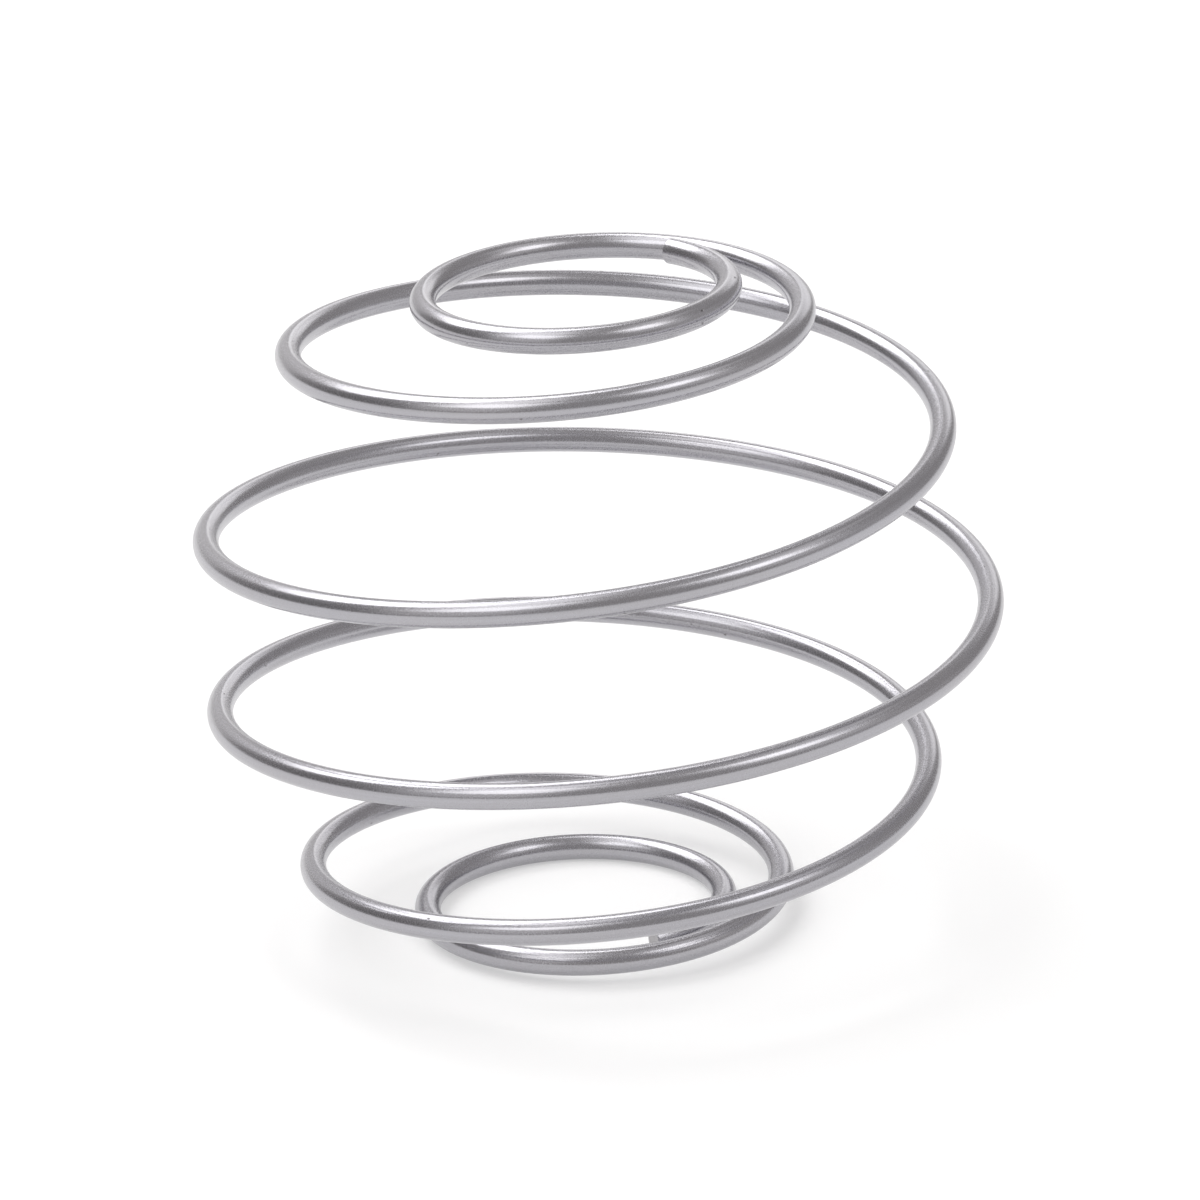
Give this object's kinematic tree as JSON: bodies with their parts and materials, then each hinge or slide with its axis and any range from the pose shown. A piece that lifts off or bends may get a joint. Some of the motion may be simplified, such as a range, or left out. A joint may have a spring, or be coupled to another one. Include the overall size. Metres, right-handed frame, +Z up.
{
  "type": "ball coil spring",
  "caption": "Ball-shaped coil spring of round steel wire that winds from a small flat ring out round the ball and in to a top ring; it squashes, stretches and leans.",
  "frame": {"origin": "on the surface the ball stands on, under the middle of its outline", "axes": "+Z up through the coil, +X to the right and -Y to the front; seen from above the wire climbs anticlockwise"},
  "size_m": [0.0542, 0.0544, 0.0456],
  "materials": {
    "wire": "satin drawn stainless steel wire"
  },
  "bodies": {
    "bottom_ring": {"bottom_ring": "wire"},
    "coil_1_front_to_right": {"coil_1_front_to_right": "wire"},
    "coil_1_right_to_back": {"coil_1_right_to_back": "wire"},
    "coil_1_back_to_left": {"coil_1_back_to_left": "wire"},
    "coil_1_left_to_front": {"coil_1_left_to_front": "wire"},
    "coil_2_front_to_right": {"coil_2_front_to_right": "wire"},
    "coil_2_right_to_back": {"coil_2_right_to_back": "wire"},
    "coil_2_back_to_left": {"coil_2_back_to_left": "wire"},
    "coil_2_left_to_front": {"coil_2_left_to_front": "wire"},
    "coil_3_front_to_right": {"coil_3_front_to_right": "wire"},
    "coil_3_right_to_back": {"coil_3_right_to_back": "wire"},
    "coil_3_back_to_left": {"coil_3_back_to_left": "wire"},
    "coil_3_left_to_front": {"coil_3_left_to_front": "wire"},
    "coil_4_front_to_right": {"coil_4_front_to_right": "wire"},
    "coil_4_right_to_back": {"coil_4_right_to_back": "wire"},
    "coil_4_back_to_left": {"coil_4_back_to_left": "wire"},
    "coil_4_left_to_front": {"coil_4_left_to_front": "wire"},
    "coil_5_front_to_right": {"coil_5_front_to_right": "wire"},
    "coil_5_right_to_back": {"coil_5_right_to_back": "wire"},
    "top_ring": {"top_ring": "wire"}
  },
  "joints": [
    {"name": "twist_front_1", "type": "hinge", "parent": "bottom_ring", "child": "coil_1_front_to_right", "pos_m": [-0.00066, -0.0118, 0.00143], "axis": [0.9996, 0.0025, 0.0288], "range_deg": [-0.52, 0.72], "stiffness_Nm_per_rad": 0.18701},
    {"name": "twist_right_1", "type": "hinge", "parent": "coil_1_front_to_right", "child": "coil_1_right_to_back", "pos_m": [0.01175, -0.00008, 0.00213], "axis": [0.0956, 0.9944, 0.0446], "range_deg": [-1.1, 1.53], "stiffness_Nm_per_rad": 0.17425},
    {"name": "twist_back_1", "type": "hinge", "parent": "coil_1_right_to_back", "child": "coil_1_back_to_left", "pos_m": [-0.00066, 0.0154, 0.00324], "axis": [-0.9864, 0.1541, 0.0577], "range_deg": [-1.76, 2.46], "stiffness_Nm_per_rad": 0.13999},
    {"name": "twist_left_1", "type": "hinge", "parent": "coil_1_back_to_left", "child": "coil_1_left_to_front", "pos_m": [-0.01979, -0.00008, 0.00508], "axis": [-0.1011, -0.9919, 0.0764], "range_deg": [-2.87, 4.01], "stiffness_Nm_per_rad": 0.11445},
    {"name": "twist_front_2", "type": "hinge", "parent": "coil_1_left_to_front", "child": "coil_2_front_to_right", "pos_m": [-0.00066, -0.02142, 0.00779], "axis": [0.995, -0.0459, 0.0881], "range_deg": [-3.38, 4.72], "stiffness_Nm_per_rad": 0.1027},
    {"name": "twist_right_2", "type": "hinge", "parent": "coil_2_front_to_right", "child": "coil_2_right_to_back", "pos_m": [0.02192, -0.00008, 0.01075], "axis": [0.0316, 0.9964, 0.079], "range_deg": [-3.61, 5.05], "stiffness_Nm_per_rad": 0.09697},
    {"name": "twist_back_2", "type": "hinge", "parent": "coil_2_right_to_back", "child": "coil_2_back_to_left", "pos_m": [-0.00066, 0.02369, 0.01339], "axis": [-0.9971, 0.033, 0.0689], "range_deg": [-4.13, 5.78], "stiffness_Nm_per_rad": 0.09221},
    {"name": "twist_left_2", "type": "hinge", "parent": "coil_2_back_to_left", "child": "coil_2_left_to_front", "pos_m": [-0.02571, -0.00008, 0.01613], "axis": [-0.0333, -0.9966, 0.076], "range_deg": [-4.91, 6.87], "stiffness_Nm_per_rad": 0.08748},
    {"name": "flex_front", "type": "hinge", "parent": "coil_2_left_to_front", "child": "coil_3_front_to_right", "pos_m": [-0.00066, -0.02635, 0.01936], "axis": [0.9964, -0.0249, 0.0807], "range_deg": [-5, 7], "stiffness_Nm_per_rad": 4.3179},
    {"name": "flex_right", "type": "hinge", "parent": "coil_3_front_to_right", "child": "coil_3_right_to_back", "pos_m": [0.02621, -0.00008, 0.02254], "axis": [0.0015, 0.9977, 0.0679], "range_deg": [-5, 7], "stiffness_Nm_per_rad": 4.0242},
    {"name": "flex_back", "type": "hinge", "parent": "coil_3_right_to_back", "child": "coil_3_back_to_left", "pos_m": [-0.00066, 0.02635, 0.02515], "axis": [-0.998, -0.0195, 0.0605], "range_deg": [-5, 7], "stiffness_Nm_per_rad": 4.0561},
    {"name": "flex_left", "type": "hinge", "parent": "coil_3_back_to_left", "child": "coil_3_left_to_front", "pos_m": [-0.02621, -0.00008, 0.02792], "axis": [0.0202, -0.9967, 0.0792], "range_deg": [-5, 7], "stiffness_Nm_per_rad": 4.6575},
    {"name": "twist_front_4", "type": "hinge", "parent": "coil_3_left_to_front", "child": "coil_4_front_to_right", "pos_m": [-0.00066, -0.0249, 0.03152], "axis": [0.995, 0.0191, 0.0977], "range_deg": [-4.56, 6.38], "stiffness_Nm_per_rad": 0.08817},
    {"name": "twist_right_4", "type": "hinge", "parent": "coil_4_front_to_right", "child": "coil_4_right_to_back", "pos_m": [0.02313, -0.00008, 0.03521], "axis": [-0.0383, 0.9952, 0.0899], "range_deg": [-4.01, 5.61], "stiffness_Nm_per_rad": 0.09211},
    {"name": "twist_back_4", "type": "hinge", "parent": "coil_4_right_to_back", "child": "coil_4_back_to_left", "pos_m": [-0.00066, 0.02183, 0.03815], "axis": [-0.9952, -0.0646, 0.0741], "range_deg": [-3.52, 4.92], "stiffness_Nm_per_rad": 0.09994},
    {"name": "twist_left_4", "type": "hinge", "parent": "coil_4_back_to_left", "child": "coil_4_left_to_front", "pos_m": [-0.02016, -0.00008, 0.04046], "axis": [0.0812, -0.9943, 0.069], "range_deg": [-2.98, 4.17], "stiffness_Nm_per_rad": 0.1121},
    {"name": "twist_front_5", "type": "hinge", "parent": "coil_4_left_to_front", "child": "coil_5_front_to_right", "pos_m": [-0.00066, -0.01708, 0.04238], "axis": [0.9938, 0.0924, 0.061], "range_deg": [-2.15, 3], "stiffness_Nm_per_rad": 0.12847},
    {"name": "twist_right_5", "type": "hinge", "parent": "coil_5_front_to_right", "child": "coil_5_right_to_back", "pos_m": [0.01388, -0.00008, 0.04358], "axis": [-0.1061, 0.9939, 0.0299], "range_deg": [-1.5, 2.1], "stiffness_Nm_per_rad": 0.1502},
    {"name": "twist_back_5", "type": "hinge", "parent": "coil_5_right_to_back", "child": "top_ring", "pos_m": [-0.00066, 0.01214, 0.04384], "axis": [-0.9939, -0.11, -0.0008], "range_deg": [-0.56, 0.77], "stiffness_Nm_per_rad": 0.1785}
  ],
  "couplings": [
    {"joint": "twist_front_1", "follows": "flex_front", "ratio": 0.0996},
    {"joint": "twist_right_1", "follows": "flex_right", "ratio": 0.2135},
    {"joint": "twist_back_1", "follows": "flex_back", "ratio": 0.3429},
    {"joint": "twist_left_1", "follows": "flex_left", "ratio": 0.5607},
    {"joint": "twist_front_2", "follows": "flex_front", "ratio": 0.6598},
    {"joint": "twist_right_2", "follows": "flex_right", "ratio": 0.7061},
    {"joint": "twist_back_2", "follows": "flex_back", "ratio": 0.8087},
    {"joint": "twist_left_2", "follows": "flex_left", "ratio": 0.9612},
    {"joint": "twist_front_4", "follows": "flex_front", "ratio": 0.8928},
    {"joint": "twist_right_4", "follows": "flex_right", "ratio": 0.7837},
    {"joint": "twist_back_4", "follows": "flex_back", "ratio": 0.6875},
    {"joint": "twist_left_4", "follows": "flex_left", "ratio": 0.5829},
    {"joint": "twist_front_5", "follows": "flex_front", "ratio": 0.419},
    {"joint": "twist_right_5", "follows": "flex_right", "ratio": 0.2928},
    {"joint": "twist_back_5", "follows": "flex_back", "ratio": 0.1069}
  ]
}
